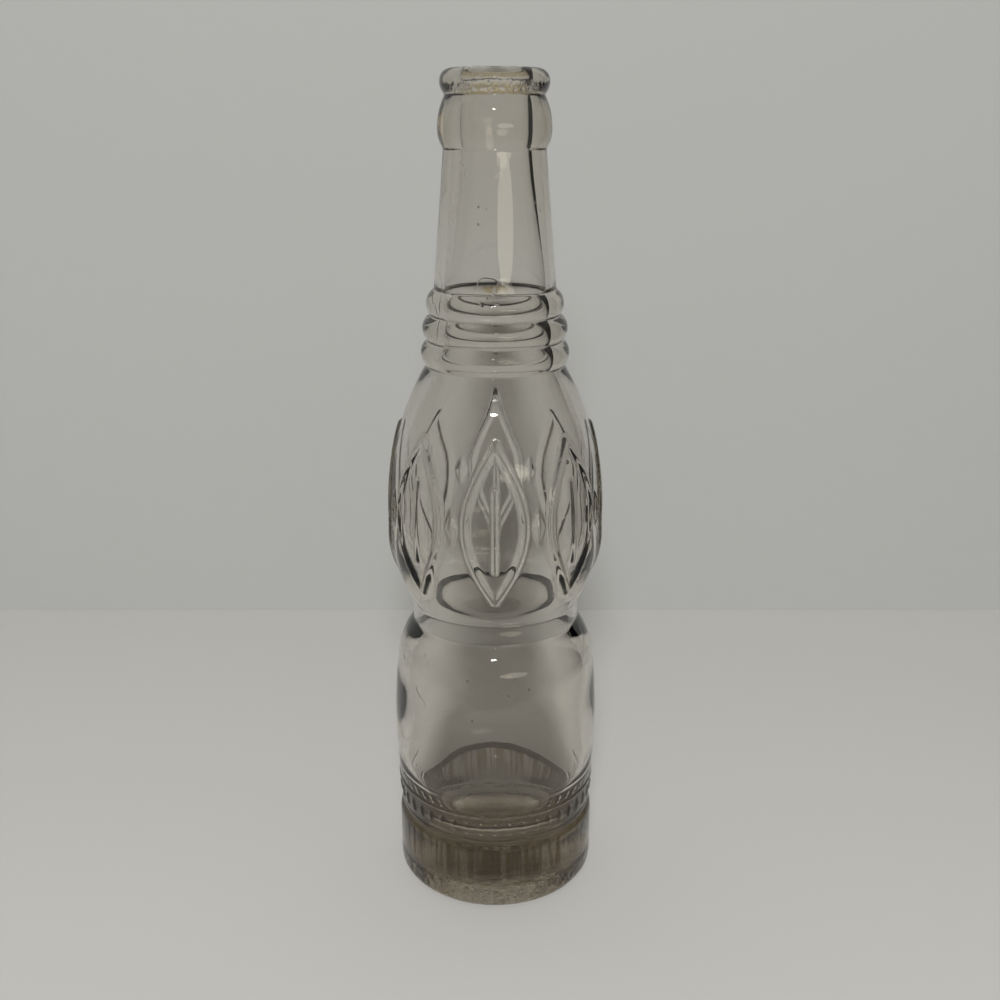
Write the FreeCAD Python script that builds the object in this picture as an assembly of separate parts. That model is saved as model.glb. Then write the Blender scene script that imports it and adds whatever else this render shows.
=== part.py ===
# A clear glass soda bottle with a crown finish, three neck rings, a bulb, a waist and a thick foot.
# It was blown in a mould as one piece, so it is one solid: a turned outer skin round a turned hollow.
# Millimetres, +Z up, origin on the axis at the level that the foot stands on.

import FreeCAD
import Part
import math
import os

Vector = FreeCAD.Vector

# Heights of the stretches, stacked from the foot up
heel_height = 20.2
body_height = 56.6
waist_height = 5.4
bulb_height = 64.2
ring_height = 6.4
neck_height = 33.6
collar_height = 12.3
crown_height = 6.0

# Foot and heel ring
push_up_depth = 4.6
push_up_diameter = 42.0
bearing_diameter = 47.8
foot_round_height = 3.4
heel_diameter = 54.8
heel_round_height = 3.6
notch_diameter = 52.6

# Lower body, widest a little above its middle height
body_diameter = 56.0
body_widest_height = 26.8
shoulder_diameter = 53.6
shoulder_height = 10.4

# Waist and bulb
waist_diameter = 44.6
bulb_diameter = 56.2
belly_height = 21.9
belly_straight = 4.0
bulb_top_diameter = 35.4

# The three neck rings, lowest first
ring_diameters = (38.0, 37.0, 34.8)
ring_groove_depth = 1.4

# Neck, collar under the crown bead, and the crown bead itself
neck_foot_diameter = 30.9
neck_top_diameter = 25.2
collar_diameter = 28.0
collar_widest_height = 4.5
bead_foot_diameter = 24.2
bead_diameter = 26.6
bead_widest_height = 3.1
lip_diameter = 20.8

# The hollow: the bore, walls and the floor
bore_diameter = 16.4
bore_length = 17.0
mouth_round = 1.1
neck_foot_wall = 2.5
ring_wall = 3.0
bulb_wall = 3.4
bulb_low_height = 16.8
bulb_low_wall = 3.8
bulb_foot_height = 7.3
bulb_foot_wall = 5.0
waist_wall = 2.7
body_wall = 3.6
floor_height = 11.5
floor_flat_diameter = 6.4
bowl_height = 26.5
bowl_roundness = 0.55

# Raised leaf outlines round the bulb, each with a midrib, and a cut stud between each two
leaf_count = 8
leaf_foot_height = 8.5
leaf_height = 40.0
leaf_width = 15.0
leaf_sections = 7
rib_width = 2.6
rib_rise = 0.85
midrib_start = 0.22
midrib_end = 0.74
midrib_sections = 4
midrib_width = 1.6
midrib_rise = 0.6
stud_height = 9.0
stud_width = 3.6
stud_rise = 0.9

# Short upright bars round the front between two thin lines, just above the notch
bar_count = 25
bar_sweep = 196.0
bar_foot_height = 3.4
bar_height = 3.4
bar_width = 1.5
bar_rise = 0.45
line_spacing = 8.0
line_sweep = 212.0
line_width = 1.0
line_rise = 0.35

# How far raised ornament reaches into the wall that carries it
root_depth = 0.5

# Levels that follow from the stacked heights
notch_level = heel_height
waist_level = notch_level + body_height
bulb_level = waist_level + waist_height
rings_level = bulb_level + bulb_height
neck_level = rings_level + ring_height * len(ring_diameters)
collar_level = neck_level + neck_height
bead_level = collar_level + collar_height
lip_level = bead_level + crown_height

UP = (0.0, 1.0)
OUTWARD = (1.0, 0.0)
INWARD = (-1.0, 0.0)


def at(point):
    """The place of an outline point, given as (radius, height)."""
    radius, height = point
    return Vector(radius, 0.0, height)


def line(start, end):
    """A straight edge of the outline."""
    return Part.LineSegment(at(start), at(end)).toShape()


def arc(start, middle, end):
    """A round edge of the outline through three points."""
    return Part.Arc(at(start), at(middle), at(end)).toShape()


def arc_leaving(start, way, end):
    """The round edge that leaves start in the direction way and ends at end."""
    across = end[0] - start[0]
    along = end[1] - start[1]
    turn = math.atan2(across * way[1] - along * way[0], across * way[0] + along * way[1])
    bulge = math.tan(turn / 2) / 2
    middle = (
        (start[0] + end[0]) / 2 - along * bulge,
        (start[1] + end[1]) / 2 + across * bulge,
    )
    return arc(start, middle, end)


def arc_reaching(start, end, way):
    """The round edge from start that reaches end in the direction way."""
    edge = arc_leaving(end, (-way[0], -way[1]), start)
    edge.reverse()
    return edge


def foot_edges():
    """Underside with its push-up, the ring it stands on, and the heel ring up to the notch."""
    heel_radius = heel_diameter / 2
    centre = (0.0, push_up_depth)
    push_up_rim = (push_up_diameter / 2, 0.0)
    bearing_rim = (bearing_diameter / 2, 0.0)
    heel_foot = (heel_radius, foot_round_height)
    heel_top = (heel_radius, notch_level - heel_round_height)
    notch = (notch_diameter / 2, notch_level)
    return [
        arc_leaving(centre, OUTWARD, push_up_rim),
        line(push_up_rim, bearing_rim),
        arc_leaving(bearing_rim, OUTWARD, heel_foot),
        line(heel_foot, heel_top),
        arc_leaving(heel_top, UP, notch),
    ]


def body_edges():
    """Lower body from the notch up to the waist: two long curves and the tighter shoulder."""
    notch = (notch_diameter / 2, notch_level)
    widest = (body_diameter / 2, notch_level + body_widest_height)
    shoulder = (shoulder_diameter / 2, waist_level - shoulder_height)
    waist = (waist_diameter / 2, waist_level)
    long_curve = arc_leaving(widest, UP, shoulder)
    leaving = long_curve.tangentAt(long_curve.LastParameter)
    return [
        arc_reaching(notch, widest, UP),
        long_curve,
        arc_leaving(shoulder, (leaving.x, leaving.z), waist),
    ]


def bulb_edges():
    """The straight band of the waist and the bulb above it, up to the rings."""
    waist_foot = (waist_diameter / 2, waist_level)
    bulb_foot = (waist_diameter / 2, bulb_level)
    belly_low = (bulb_diameter / 2, bulb_level + belly_height)
    belly_high = (bulb_diameter / 2, bulb_level + belly_height + belly_straight)
    bulb_top = (bulb_top_diameter / 2, rings_level)
    return [
        line(waist_foot, bulb_foot),
        arc_reaching(bulb_foot, belly_low, UP),
        line(belly_low, belly_high),
        arc_leaving(belly_high, UP, bulb_top),
    ]


def ring_edges():
    """The three rounded rings that step in towards the neck."""
    crests = [diameter / 2 for diameter in ring_diameters]
    grooves = [(low + high) / 2 - ring_groove_depth for low, high in zip(crests, crests[1:])]
    feet = [bulb_top_diameter / 2] + grooves
    tops = grooves + [neck_foot_diameter / 2]
    edges = []
    for number, crest in enumerate(crests):
        level = rings_level + number * ring_height
        foot = (feet[number], level)
        middle = (crest, level + ring_height / 2)
        top = (tops[number], level + ring_height)
        edges.append(arc(foot, middle, top))
    return edges


def finish_edges():
    """The tapered neck, the collar, the crown bead and the flat of the lip."""
    neck_foot = (neck_foot_diameter / 2, neck_level)
    neck_top = (neck_top_diameter / 2, collar_level)
    collar = (collar_diameter / 2, collar_level + collar_widest_height)
    bead_foot = (bead_foot_diameter / 2, bead_level)
    bead = (bead_diameter / 2, bead_level + bead_widest_height)
    lip = (lip_diameter / 2, lip_level)
    mouth = (bore_diameter / 2 + mouth_round, lip_level)
    return [
        line(neck_foot, neck_top),
        arc_reaching(neck_top, collar, UP),
        arc_leaving(collar, UP, bead_foot),
        arc_reaching(bead_foot, bead, UP),
        arc_reaching(bead, lip, INWARD),
        line(lip, mouth),
    ]


def hollow_edges():
    """The inside, from the mouth down the bore and along the blown wall to the floor."""
    bore_radius = bore_diameter / 2
    mouth = (bore_radius + mouth_round, lip_level)
    bore_top = (bore_radius, lip_level - mouth_round)
    bore_foot = (bore_radius, lip_level - bore_length)
    body_widest = notch_level + body_widest_height
    bulb_low = bulb_level + bulb_low_height
    bulb_foot = bulb_level + bulb_foot_height
    wall_stations = [
        bore_foot,
        (neck_foot_diameter / 2 - neck_foot_wall, neck_level),
        (bulb_top_diameter / 2 - ring_wall, rings_level),
        (bulb_diameter / 2 - bulb_wall, bulb_level + belly_height + belly_straight / 2),
        (bulb_radius(bulb_low) - bulb_low_wall, bulb_low),
        (bulb_radius(bulb_foot) - bulb_foot_wall, bulb_foot),
        (waist_diameter / 2 - waist_wall, bulb_level - waist_height / 2),
        (shoulder_diameter / 2 - body_wall, waist_level - shoulder_height),
        (body_diameter / 2 - body_wall, body_widest),
    ]
    wall = Part.BSplineCurve()
    wall.interpolate(
        Points=[at(station) for station in wall_stations],
        InitialTangent=Vector(0.0, 0.0, -1.0),
        FinalTangent=Vector(0.0, 0.0, -1.0),
    )
    bowl_top = (body_diameter / 2 - body_wall, floor_height + bowl_height)
    floor_rim = (floor_flat_diameter / 2, floor_height)
    floor_centre = (0.0, floor_height)
    return [
        arc_leaving(mouth, INWARD, bore_top),
        line(bore_top, bore_foot),
        wall.toShape(),
        line(wall_stations[-1], bowl_top),
        bowl_edge(bowl_top, floor_rim),
        line(floor_rim, floor_centre),
    ]


def bowl_edge(top, rim):
    """The bowl that rounds the wall into the floor, upright at its top and level at its rim."""
    reach_down = (top[1] - rim[1]) * bowl_roundness
    reach_out = (top[0] - rim[0]) * bowl_roundness
    poles = [
        at(top),
        at((top[0], top[1] - reach_down)),
        at((rim[0] + reach_out, rim[1])),
        at(rim),
    ]
    curve = Part.BezierCurve()
    curve.setPoles(poles)
    return curve.toShape()


def turned_glass():
    """The plain bottle, turned from the closed outline of its glass."""
    skin = foot_edges() + body_edges() + bulb_edges() + ring_edges() + finish_edges()
    axis = line((0.0, floor_height), (0.0, push_up_depth))
    outline = Part.Wire(skin + hollow_edges() + [axis])
    section = Part.Face(outline)
    return section.revolve(Vector(0.0, 0.0, 0.0), Vector(0.0, 0.0, 1.0), 360.0)


def arc_radius(upright, end, level):
    """Radius at a level of the outline's arc that stands upright at one place and runs to end."""
    across = upright[0] - end[0]
    chord_squared = across ** 2 + (upright[1] - end[1]) ** 2
    away = level - upright[1]
    root = math.sqrt(chord_squared ** 2 - (2 * across * away) ** 2)
    return upright[0] - 2 * across * away ** 2 / (chord_squared + root)


def bulb_radius(level):
    """Radius of the bulb's skin at a level."""
    low = bulb_level + belly_height
    high = low + belly_straight
    if level < low:
        return arc_radius((bulb_diameter / 2, low), (waist_diameter / 2, bulb_level), level)
    if level > high:
        return arc_radius((bulb_diameter / 2, high), (bulb_top_diameter / 2, rings_level), level)
    return bulb_diameter / 2


def heel_radius(level):
    """Radius of the lower body's skin at a level between the notch and its widest place."""
    widest = (body_diameter / 2, notch_level + body_widest_height)
    return arc_radius(widest, (notch_diameter / 2, notch_level), level)


def on_skin(radius, across, level):
    """The place this far from the axis, this far round from the front and this high."""
    angle = across / radius
    return Vector(radius * math.sin(angle), -radius * math.cos(angle), level)


def leaf_place(share, grow, lift):
    """A place on one side of a leaf outline, grown by grow and lifted off the skin by lift.

    share runs from 0 at the lower tip to 1 at the upper one.
    """
    tip_slope = math.atan(math.pi * leaf_width / 2 / leaf_height)
    half_height = leaf_height / 2 + grow / math.sin(tip_slope)
    middle = bulb_level + leaf_foot_height + leaf_height / 2
    level = middle + half_height * (2 * share - 1)
    across = (leaf_width / 2 + grow) * math.sin(math.pi * share)
    return on_skin(bulb_radius(level) + lift, across, level)


def leaf():
    """A leaf outline: a rib of triangular section round a pointed oval, mitred at both tips."""
    foot_grow = rib_width / 2 * (1 + root_depth / rib_rise)
    sections = []
    for number in range(leaf_sections):
        share = number / (leaf_sections - 1)
        outer_foot = leaf_place(share, foot_grow, -root_depth)
        ridge = leaf_place(share, 0.0, rib_rise)
        inner_foot = leaf_place(share, -foot_grow, -root_depth)
        sections.append(Part.makePolygon([outer_foot, ridge, inner_foot, outer_foot]))
    side = Part.makeLoft(sections, True, True)
    return [side, side.mirror(Vector(0, 0, 0), Vector(1, 0, 0))]


def midrib():
    """A leaf's midrib: a straight rib of triangular section up the middle of its lower part."""
    half_width = midrib_width / 2 * (1 + root_depth / midrib_rise)
    foot = bulb_level + leaf_foot_height
    sections = []
    for number in range(midrib_sections):
        share = midrib_start + (midrib_end - midrib_start) * number / (midrib_sections - 1)
        level = foot + leaf_height * share
        radius = bulb_radius(level)
        left_foot = Vector(-half_width, -radius + root_depth, level)
        ridge = Vector(0.0, -radius - midrib_rise, level)
        right_foot = Vector(half_width, -radius + root_depth, level)
        sections.append(Part.makePolygon([left_foot, ridge, right_foot, left_foot]))
    return Part.makeLoft(sections, True, True)


def stud():
    """A cut stud: a low pyramid over a tall diamond, its base sunk in the skin."""
    middle = bulb_level + leaf_foot_height + leaf_height / 2
    spread = 1 + root_depth / stud_rise
    radius = bulb_radius(middle)
    sunk = radius - root_depth
    half_height = stud_height / 2 * spread
    half_width = stud_width / 2 * spread
    corners = [
        Vector(0.0, -sunk, middle - half_height),
        Vector(half_width, -sunk, middle),
        Vector(0.0, -sunk, middle + half_height),
        Vector(-half_width, -sunk, middle),
    ]
    point = Vector(0.0, -radius - stud_rise, middle)
    base = Part.Face(Part.makePolygon(corners + corners[:1]))
    sides = []
    for first, second in zip(corners, corners[1:] + corners[:1]):
        sides.append(Part.Face(Part.makePolygon([first, second, point, first])))
    return Part.Solid(Part.Shell([base] + sides))


def bar():
    """A short upright bar of triangular section that leans with the skin."""
    low = notch_level + bar_foot_height
    high = low + bar_height
    half_width = bar_width / 2 * (1 + root_depth / bar_rise)
    ends = []
    for level in (low, high):
        radius = heel_radius(level)
        root = radius - root_depth
        ridge = radius + bar_rise
        left_foot = Vector(-half_width, -root, level)
        crest = Vector(0.0, -ridge, level)
        right_foot = Vector(half_width, -root, level)
        ends.append(Part.makePolygon([left_foot, crest, right_foot, left_foot]))
    return Part.makeLoft(ends, True, True)


def thin_line(level):
    """A thin raised line of triangular section round the front of the lower body."""
    root = heel_radius(level) - root_depth
    half_width = line_width / 2 * (1 + root_depth / line_rise)
    low = (root, level - half_width)
    crest = (heel_radius(level) + line_rise, level)
    high = (root, level + half_width)
    outline = Part.Wire([line(low, crest), line(crest, high), line(high, low)])
    raised = Part.Face(outline).revolve(Vector(0, 0, 0), Vector(0, 0, 1), line_sweep)
    raised.rotate(Vector(0, 0, 0), Vector(0, 0, 1), -90.0 - line_sweep / 2)
    return raised


def turned_copies(shapes, angles):
    """Copies of shapes, turned about the axis by each of these angles."""
    copies = []
    for angle in angles:
        for shape in shapes:
            copy = shape.copy()
            copy.rotate(Vector(0, 0, 0), Vector(0, 0, 1), angle)
            copies.append(copy)
    return copies


def ornament():
    """Everything that stands raised on the bulb and above the notch."""
    middle_line = notch_level + bar_foot_height + bar_height / 2
    lines = [thin_line(middle_line - line_spacing / 2), thin_line(middle_line + line_spacing / 2)]
    leaf_step = 360.0 / leaf_count
    leaf_angles = [leaf_step * number for number in range(leaf_count)]
    stud_angles = [angle + leaf_step / 2 for angle in leaf_angles]
    bar_step = bar_sweep / (bar_count - 1)
    bar_angles = [bar_step * number - bar_sweep / 2 for number in range(bar_count)]
    leaves = turned_copies(leaf() + [midrib()], leaf_angles)
    studs = turned_copies([stud()], stud_angles)
    bars = turned_copies([bar()], bar_angles)
    return leaves + studs + bars + lines


def bottle():
    """The whole bottle: the turned glass and its raised ornament as one solid."""
    return turned_glass().fuse(ornament())


os.makedirs("parts", exist_ok=True)
glass = bottle()
glass.exportStep("parts/bottle.step")
print("bottle: volume", round(glass.Volume / 1000, 1), "cm3, valid", glass.isValid())
print("height", round(glass.BoundBox.ZMax, 2), "solids", len(glass.Solids))
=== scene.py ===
"""Dresses a clear glass soda bottle: one turned and embossed shell of old glass in a small studio."""

import logging
import math
import random
from dataclasses import dataclass, field
from enum import Enum

import bpy
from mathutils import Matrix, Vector


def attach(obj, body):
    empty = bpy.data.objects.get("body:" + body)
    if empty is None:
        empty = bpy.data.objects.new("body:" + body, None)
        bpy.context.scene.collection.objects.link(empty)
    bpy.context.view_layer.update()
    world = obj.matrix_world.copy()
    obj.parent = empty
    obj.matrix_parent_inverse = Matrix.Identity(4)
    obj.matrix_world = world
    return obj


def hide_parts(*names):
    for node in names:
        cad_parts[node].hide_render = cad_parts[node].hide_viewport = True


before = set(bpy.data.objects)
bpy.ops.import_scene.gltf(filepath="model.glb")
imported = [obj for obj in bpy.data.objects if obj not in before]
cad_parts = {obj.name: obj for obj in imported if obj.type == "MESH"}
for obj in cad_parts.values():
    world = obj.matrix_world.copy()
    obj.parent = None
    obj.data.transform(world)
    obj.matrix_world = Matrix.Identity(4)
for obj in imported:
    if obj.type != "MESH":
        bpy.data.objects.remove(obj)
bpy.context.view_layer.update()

MM = 0.001
SAME_POINT = 0.004 * MM
SAME_SEAM = 0.012 * MM
SAME_RING = 0.02 * MM
STRAIGHT = 1e-6
LOG = logging.getLogger("soda_bottle")

Point = tuple[float, float]
Triple = tuple[float, float, float]


class Way(Enum):
    """The directions in which an arc of the turned outline can leave or arrive."""

    UP = (0.0, 1.0)
    OUT = (1.0, 0.0)
    IN = (-1.0, 0.0)


class Layer(Enum):
    """The groups of points that the moves of the glass work on."""

    HOLLOW = "hollow"
    RAISED = "raised"
    SKIN_WAVES = "skin_waves"
    HOLLOW_WAVES = "hollow_waves"
    UNDERSIDE_WAVES = "underside_waves"


def clamped(value: float) -> float:
    """The value held between 0 and 1."""
    return min(1.0, max(0.0, value))


def deselect_all() -> None:
    """Leave no object selected."""
    bpy.ops.object.select_all(action="DESELECT")


def make_active(thing: bpy.types.Object) -> None:
    """Select one object alone and make it the active one.

    Args:
        thing: The object to select.
    """
    deselect_all()
    thing.select_set(True)
    bpy.context.view_layer.objects.active = thing


@dataclass
class Outline:
    """A chain of points (radius, height) in millimetres that the glass is turned from.

    Attributes:
        points: The chain so far.
        corners: Places in the chain that are softened later, with the reach of each.
    """

    points: list[Point]
    corners: list[tuple[Point, float]] = field(default_factory=list)

    def crease(self, reach: float) -> None:
        """Mark the last point as a corner that is softened over a reach on both sides."""
        self.corners.append((self.points[-1], reach))

    def line(self, end: Point, step: float) -> None:
        """Go straight to a point.

        Args:
            end: Where the line ends.
            step: The longest spacing of its points.
        """
        start = self.points[-1]
        cuts = max(1, math.ceil(math.dist(start, end) / step))
        for number in range(1, cuts + 1):
            share = number / cuts
            self.points.append(tuple(a + (b - a) * share for a, b in zip(start, end)))

    def arc_leaving(self, way: Way, end: Point, step: float) -> None:
        """Go along the arc that leaves in a direction.

        Args:
            way: The direction at the start.
            end: Where the arc ends.
            step: The longest spacing of its points.
        """
        self.points.extend(arc(self.points[-1], way.value, end, step)[1:])

    def arc_reaching(self, end: Point, way: Way, step: float) -> None:
        """Go along the arc that arrives in a direction.

        Args:
            end: Where the arc ends.
            way: The direction at the end.
            step: The longest spacing of its points.
        """
        back = (-way.value[0], -way.value[1])
        self.points.extend(arc(end, back, self.points[-1], step)[-2::-1])

    def arc_through(self, middle: Point, end: Point, step: float) -> None:
        """Go along the arc through a middle point.

        Args:
            middle: A point on the arc.
            end: Where the arc ends.
            step: The longest spacing of its points.
        """
        start = self.points[-1]
        way = way_of_arc(start, middle, end)
        self.points.extend(arc(start, way, end, step)[1:])

    def softened(self, cuts: int = 4) -> list[Point]:
        """The chain with each marked corner rounded.

        Args:
            cuts: How many steps round a corner.

        Returns:
            The new chain of points.
        """
        chain = list(self.points)
        for corner, reach in self.corners:
            place = chain.index(corner)
            before = place
            while math.dist(chain[before], corner) < reach:
                before -= 1
            after = place
            while math.dist(chain[after], corner) < reach:
                after += 1
            start = toward(corner, chain[before], reach)
            end = toward(corner, chain[after], reach)
            curve = []
            for number in range(cuts + 1):
                share = number / cuts
                low = toward_share(start, corner, share)
                high = toward_share(corner, end, share)
                curve.append(toward_share(low, high, share))
            chain[before + 1:after] = curve
        return chain


def toward_share(start: Point, end: Point, share: float) -> Point:
    """The point at a share of the way between two others."""
    return (start[0] + (end[0] - start[0]) * share, start[1] + (end[1] - start[1]) * share)


def toward(start: Point, end: Point, reach: float) -> Point:
    """The point at a distance from one point towards another."""
    return toward_share(start, end, reach / math.dist(start, end))


def unit(start: Point, end: Point) -> Point:
    """The direction from one point to another."""
    length = math.dist(start, end)
    return ((end[0] - start[0]) / length, (end[1] - start[1]) / length)


def arc(start: Point, way: Point, end: Point, step: float) -> list[Point]:
    """Points along the arc that leaves a point in a direction and ends at another.

    Args:
        start: The first point.
        way: The direction in which the arc leaves it.
        end: The last point.
        step: The longest spacing.

    Returns:
        The points, both ends included.
    """
    across, along = end[0] - start[0], end[1] - start[1]
    turn = math.atan2(way[0] * along - way[1] * across, way[0] * across + way[1] * along)
    straight = abs(turn) < STRAIGHT
    chord = math.hypot(across, along)
    base = math.atan2(way[1], way[0])
    length = chord if straight else chord * turn / math.sin(turn)
    cuts = max(2, math.ceil(length / step))
    points = [start]
    for number in range(1, cuts):
        share = number / cuts
        reach = chord * share if straight else chord * math.sin(turn * share) / math.sin(turn)
        angle = base + turn * share
        points.append((start[0] + reach * math.cos(angle), start[1] + reach * math.sin(angle)))
    points.append(end)
    return points


def way_of_arc(start: Point, middle: Point, end: Point) -> Point:
    """The direction in which the arc through three points leaves the first.

    Args:
        start: The first point.
        middle: A point between.
        end: The last point.

    Returns:
        The direction as a pair.
    """
    to_end = math.atan2(end[1] - start[1], end[0] - start[0])
    to_middle = math.atan2(middle[1] - start[1], middle[0] - start[0])
    from_middle = math.atan2(end[1] - middle[1], end[0] - middle[0])
    angle = to_end + to_middle - from_middle
    return (math.cos(angle), math.sin(angle))


@dataclass(frozen=True)
class BottleSizes:
    """The sizes of the bottle in millimetres.

    They are the solid's, but for two that follow the photograph more closely here: heel_round_height
    and the wall of the upper bulb in wall_stations. The last four say how far the edges are softened.
    """

    notch_level: float = 20.2
    waist_level: float = 76.8
    bulb_level: float = 82.2
    rings_level: float = 146.4
    ring_height: float = 6.4
    collar_level: float = 199.2
    bead_level: float = 211.5
    lip_level: float = 217.5
    push_up_depth: float = 4.6
    push_up_radius: float = 21.0
    bearing_radius: float = 23.9
    foot_round_height: float = 3.4
    heel_radius: float = 27.4
    heel_round_height: float = 2.7
    notch_radius: float = 26.3
    body_radius: float = 28.0
    body_widest_level: float = 47.0
    shoulder_radius: float = 26.8
    shoulder_level: float = 66.4
    waist_radius: float = 22.3
    bulb_radius: float = 28.1
    belly_low: float = 104.1
    belly_high: float = 108.1
    bulb_top_radius: float = 17.7
    ring_radii: Triple = (19.0, 18.5, 17.4)
    ring_groove_depth: float = 1.4
    neck_foot_radius: float = 15.45
    neck_top_radius: float = 12.6
    collar_radius: float = 14.0
    collar_widest_level: float = 203.7
    bead_foot_radius: float = 12.1
    bead_radius: float = 13.3
    bead_widest_level: float = 214.6
    lip_radius: float = 10.4
    bore_radius: float = 8.2
    bore_foot_level: float = 200.5
    mouth_round: float = 1.1
    floor_level: float = 11.5
    floor_radius: float = 3.2
    floor_middle: float = 3.0
    bowl_level: float = 38.0
    bowl_radius: float = 24.4
    bowl_roundness: float = 0.55
    wall_stations: tuple[Point, ...] = (
        (8.2, 200.5),
        (12.95, 165.6),
        (14.7, 146.4),
        (22.3, 128.0),
        (24.7, 107.0),
        (24.0, 99.0),
        (20.6, 89.5),
        (19.2, 85.0),
        (19.6, 79.0),
        (23.4, 66.4),
        (24.4, 47.0),
    )
    soft_bearing: float = 0.8
    soft_notch: float = 0.5
    soft_waist: float = 0.7
    soft_ring: float = 0.6

    def underside_height(self, radius: float) -> float:
        """Height of the underside's shallow dome at a radius."""
        bend = (self.push_up_radius ** 2 + self.push_up_depth ** 2) / (2 * self.push_up_depth)
        return self.push_up_depth - bend + math.sqrt(bend ** 2 - radius ** 2)


@dataclass(frozen=True)
class Spacing:
    """The longest steps along the turned outlines, in millimetres, and the counts of some steps."""

    underside: float = 9.0
    underside_rings: int = 13
    bearing: float = 1.0
    foot_round: float = 0.55
    heel: float = 2.7
    small_round: float = 0.5
    notch: float = 0.34
    body: float = 2.0
    shoulder: float = 0.8
    waist: float = 1.0
    bulb: float = 0.5
    rings: float = 0.65
    neck: float = 2.4
    collar: float = 0.9
    lip: float = 0.6
    mouth: float = 0.4
    bore: float = 2.0
    wall: float = 2.4
    bowl_cuts: int = 18


@dataclass(frozen=True)
class Spot:
    """A place on the plain skin.

    Attributes:
        level: Its height in millimetres.
        radius: Its distance from the axis in millimetres.
        angle: Its angle from the front in radians.
    """

    level: float
    radius: float
    angle: float


@dataclass(frozen=True)
class Relief:
    """The raised ornament of the skin: leaf outlines with midribs, studs, short bars and thin lines.

    Sizes are in millimetres and the same as those of the solid, with rounded sections.
    """

    sizes: BottleSizes
    leaf_count: int = 8
    leaf_middle: float = 110.7
    leaf_height: float = 40.0
    leaf_width: float = 15.0
    leaf_reach: float = 1.12
    rib_half_width: float = 1.45
    rib_rise: float = 0.72
    midrib_low: float = 99.5
    midrib_high: float = 120.3
    midrib_half_width: float = 0.9
    midrib_rise: float = 0.5
    stud_height: float = 9.0
    stud_width: float = 3.6
    stud_rise: float = 0.9
    stud_edge: float = 1.08
    stud_swell: float = 0.85
    bar_step: float = math.radians(196.0 / 24)
    bar_sweep: float = math.radians(196.0)
    bar_low: float = 23.6
    bar_high: float = 27.0
    bar_end: float = 0.3
    bar_half_width: float = 0.85
    bar_rise: float = 0.45
    line_levels: Point = (21.3, 29.3)
    line_half_width: float = 0.6
    line_rise: float = 0.35
    line_sweep: float = math.radians(212.0)

    def rise_at(self, place: Vector) -> float:
        """How far the skin stands raised at a place.

        Args:
            place: A point of the plain skin, in metres.

        Returns:
            The rise in millimetres.
        """
        radius = math.hypot(place.x, place.y) / MM
        spot = Spot(place.z / MM, radius, math.atan2(place.x, -place.y))
        if self.sizes.bulb_level < spot.level < self.sizes.rings_level:
            return max(self.leaf_rise_at(spot), self.midrib_rise_at(spot), self.stud_rise_at(spot))
        if spot.level < self.line_levels[1] + self.line_half_width:
            return max(self.bar_rise_at(spot), self.line_rise_at(spot))
        return 0.0

    def across_leaf(self, spot: Spot) -> float:
        """Distance round the skin from the middle line of the nearest leaf, in millimetres."""
        return spot.radius * nearest_turn(spot.angle, 2 * math.pi / self.leaf_count)

    def leaf_rise_at(self, spot: Spot) -> float:
        """Rise of the nearest leaf's outline.

        Args:
            spot: The place.

        Returns:
            The rise in millimetres.
        """
        half_height = self.leaf_height / 2
        share = (spot.level - self.leaf_middle) / half_height
        if abs(share) > self.leaf_reach:
            return 0.0
        across = self.across_leaf(spot)
        held = min(1.0, max(-1.0, share))
        half_width = self.leaf_width / 2 * math.cos(math.pi / 2 * held)
        slope = math.pi / 2 * self.leaf_width / 2 / half_height * math.sin(math.pi / 2 * abs(held))
        aside = abs(abs(across) - half_width) / math.hypot(1.0, slope)
        beyond = max(0.0, abs(share) - 1.0) * half_height
        return self.rib_rise * rounded(math.hypot(aside, beyond) / self.rib_half_width)

    def midrib_rise_at(self, spot: Spot) -> float:
        """Rise of the nearest leaf's midrib.

        Args:
            spot: The place.

        Returns:
            The rise in millimetres.
        """
        beyond = max(0.0, self.midrib_low - spot.level, spot.level - self.midrib_high)
        away = math.hypot(self.across_leaf(spot), beyond)
        return self.midrib_rise * rounded(away / self.midrib_half_width)

    def stud_rise_at(self, spot: Spot) -> float:
        """Rise of the nearest stud, a low four-sided point.

        Args:
            spot: The place.

        Returns:
            The rise in millimetres.
        """
        turn = nearest_turn(spot.angle + math.pi / self.leaf_count, 2 * math.pi / self.leaf_count)
        aside = abs(spot.radius * turn) / (self.stud_width / 2)
        away = aside + abs(spot.level - self.leaf_middle) / (self.stud_height / 2)
        return self.stud_rise * clamped(self.stud_edge - away) ** self.stud_swell

    def bar_rise_at(self, spot: Spot) -> float:
        """Rise of the nearest short bar.

        Args:
            spot: The place.

        Returns:
            The rise in millimetres.
        """
        if abs(spot.angle) > (self.bar_sweep + self.bar_step) / 2:
            return 0.0
        across = spot.radius * nearest_turn(spot.angle, self.bar_step)
        low, high = self.bar_low + self.bar_end, self.bar_high - self.bar_end
        beyond = max(0.0, low - spot.level, spot.level - high)
        return self.bar_rise * rounded(math.hypot(across, beyond) / self.bar_half_width)

    def line_rise_at(self, spot: Spot) -> float:
        """Rise of the nearer thin line.

        Args:
            spot: The place.

        Returns:
            The rise in millimetres.
        """
        away = min(abs(spot.level - line) for line in self.line_levels)
        beyond = max(0.0, spot.radius * (abs(spot.angle) - self.line_sweep / 2))
        return self.line_rise * rounded(math.hypot(away, beyond) / self.line_half_width)


def rounded(away: float) -> float:
    """A soft round section: 1 on its ridge and 0 from a distance of 1 on."""
    return (1.0 + math.cos(math.pi * min(1.0, away))) / 2


def nearest_turn(angle: float, step: float) -> float:
    """The angle from the nearest of the places that stand a step apart, the first at angle 0."""
    return (angle + step / 2) % step - step / 2


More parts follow.
